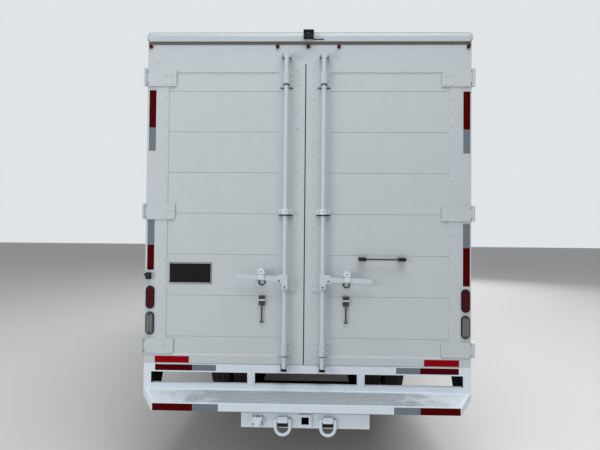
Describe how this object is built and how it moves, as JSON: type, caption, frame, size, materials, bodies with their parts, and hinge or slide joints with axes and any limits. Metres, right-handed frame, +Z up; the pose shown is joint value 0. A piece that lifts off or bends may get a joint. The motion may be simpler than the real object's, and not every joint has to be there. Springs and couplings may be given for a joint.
{
  "type": "box truck",
  "caption": "Box truck with a low cab, a tall van body with riveted plank rear doors, lock rods, a step bumper and a tow hitch",
  "frame": {"origin": "middle of the length and width, on the ground", "axes": "+X to the truck's right, +Y forwards, +Z up"},
  "size_m": [2.5776, 7.61, 3.408],
  "materials": {
    "white_paint": "satin",
    "chassis_black": "satin",
    "engine_grey": "matte",
    "bare_metal": "satin",
    "dark_zinc": "satin",
    "wheel_paint": "satin",
    "tyre_rubber": "matte",
    "deck_boards": "matte",
    "red_lens": "gloss",
    "clear_lens": "gloss",
    "black_plastic": "matte",
    "window_glass": "gloss",
    "cab_trim": "matte",
    "seat_cloth": "matte"
  },
  "bodies": {
    "chassis": {"frame_rail_left": "chassis_black", "frame_rail_right": "chassis_black", "crossmembers": "chassis_black", "front_axle": "chassis_black", "rear_axle": "chassis_black", "leaf_springs": "chassis_black", "engine": "engine_grey", "drive_shaft": "chassis_black", "fuel_tank": "bare_metal", "battery_box": "chassis_black", "exhaust": "bare_metal", "front_bumper": "black_plastic", "box_floor": "deck_boards", "cross_sills": "chassis_black", "side_wall_left": "white_paint", "side_wall_right": "white_paint", "bulkhead": "white_paint", "box_roof": "white_paint", "rear_frame": "white_paint", "lock_keepers": "white_paint", "step_bumper": "white_paint", "hitch": "white_paint", "d_rings": "white_paint", "red_lamps": "red_lens", "reversing_lamps": "clear_lens", "plate_lamp": "black_plastic", "rear_camera": "black_plastic"},
    "cab": {"cab_shell": "white_paint", "cab_floor": "white_paint", "cab_steps": "white_paint", "mudguards": "black_plastic", "cab_glass": "window_glass", "head_lamps": "clear_lens", "dashboard": "cab_trim", "steering_wheel": "cab_trim", "seats": "seat_cloth"},
    "cab_door_left": {"cab_door_left": "white_paint", "door_glass_left": "window_glass", "mirror_left": "black_plastic"},
    "cab_door_right": {"cab_door_right": "white_paint", "door_glass_right": "window_glass", "mirror_right": "black_plastic"},
    "knuckle_left": {"knuckle_left": "chassis_black"},
    "knuckle_right": {"knuckle_right": "chassis_black"},
    "tie_rod": {"tie_rod": "chassis_black"},
    "front_wheel_left": {"front_wheel_left": "wheel_paint", "front_tyre_left": "tyre_rubber"},
    "front_wheel_right": {"front_wheel_right": "wheel_paint", "front_tyre_right": "tyre_rubber"},
    "rear_wheels_left": {"rear_wheels_left": "wheel_paint", "rear_tyres_left": "tyre_rubber"},
    "rear_wheels_right": {"rear_wheels_right": "wheel_paint", "rear_tyres_right": "tyre_rubber"},
    "rear_door_left": {"rear_door_left": "white_paint", "holdback_left": "dark_zinc"},
    "rear_door_right": {"rear_door_right": "white_paint", "holdback_right": "dark_zinc", "grab_handle": "bare_metal"},
    "lock_rod_left": {"lock_rod_left": "white_paint"},
    "lock_rod_right": {"lock_rod_right": "white_paint"}
  },
  "joints": [
    {"name": "rear_door_left_swing", "type": "hinge", "parent": "chassis", "child": "rear_door_left", "pos_m": [-1.233, -3.527, 2.021], "axis": [0, 0, -1], "range_deg": [0, 262]},
    {"name": "rear_door_right_swing", "type": "hinge", "parent": "chassis", "child": "rear_door_right", "pos_m": [1.233, -3.527, 2.021], "axis": [0, 0, 1], "range_deg": [0, 262]},
    {"name": "lock_rod_left_turn", "type": "hinge", "parent": "rear_door_left", "child": "lock_rod_left", "pos_m": [-0.162, -3.56, 1.52], "axis": [0, 0, -1], "range_deg": [-100, 0]},
    {"name": "lock_rod_right_turn", "type": "hinge", "parent": "rear_door_right", "child": "lock_rod_right", "pos_m": [0.118, -3.56, 1.52], "axis": [0, 0, 1], "range_deg": [-100, 0]},
    {"name": "cab_tilt", "type": "hinge", "parent": "chassis", "child": "cab", "pos_m": [0, 3.675, 0.66], "axis": [1, 0, 0], "range_deg": [-45, 0]},
    {"name": "cab_door_left_swing", "type": "hinge", "parent": "cab", "child": "cab_door_left", "pos_m": [-1.01, 3.572, 1.12], "axis": [0, 0, -1], "range_deg": [0, 70]},
    {"name": "cab_door_right_swing", "type": "hinge", "parent": "cab", "child": "cab_door_right", "pos_m": [1.01, 3.572, 1.12], "axis": [0, 0, 1], "range_deg": [0, 70]},
    {"name": "steer_left", "type": "hinge", "parent": "chassis", "child": "knuckle_left", "pos_m": [-0.69, 2.705, 0.39], "axis": [0, 0, 1], "range_deg": [-35, 35]},
    {"name": "steer_right", "type": "hinge", "parent": "chassis", "child": "knuckle_right", "pos_m": [0.69, 2.705, 0.39], "axis": [0, 0, 1], "range_deg": [-35, 35]},
    {"name": "tie_rod_turn", "type": "hinge", "parent": "knuckle_left", "child": "tie_rod", "pos_m": [-0.69, 2.53, 0.335], "axis": [0, 0, 1], "range_deg": [-35, 35]},
    {"name": "front_wheel_left_spin", "type": "hinge", "parent": "knuckle_left", "child": "front_wheel_left", "pos_m": [-0.81, 2.705, 0.39], "axis": [1, 0, 0], "continuous": true},
    {"name": "front_wheel_right_spin", "type": "hinge", "parent": "knuckle_right", "child": "front_wheel_right", "pos_m": [0.81, 2.705, 0.39], "axis": [1, 0, 0], "continuous": true},
    {"name": "rear_wheels_left_spin", "type": "hinge", "parent": "chassis", "child": "rear_wheels_left", "pos_m": [-0.881, -1.315, 0.39], "axis": [1, 0, 0], "continuous": true},
    {"name": "rear_wheels_right_spin", "type": "hinge", "parent": "chassis", "child": "rear_wheels_right", "pos_m": [0.881, -1.315, 0.39], "axis": [1, 0, 0], "continuous": true}
  ],
  "couplings": [
    {"joint": "steer_right", "follows": "steer_left", "ratio": 1},
    {"joint": "tie_rod_turn", "follows": "steer_left", "ratio": -1}
  ]
}
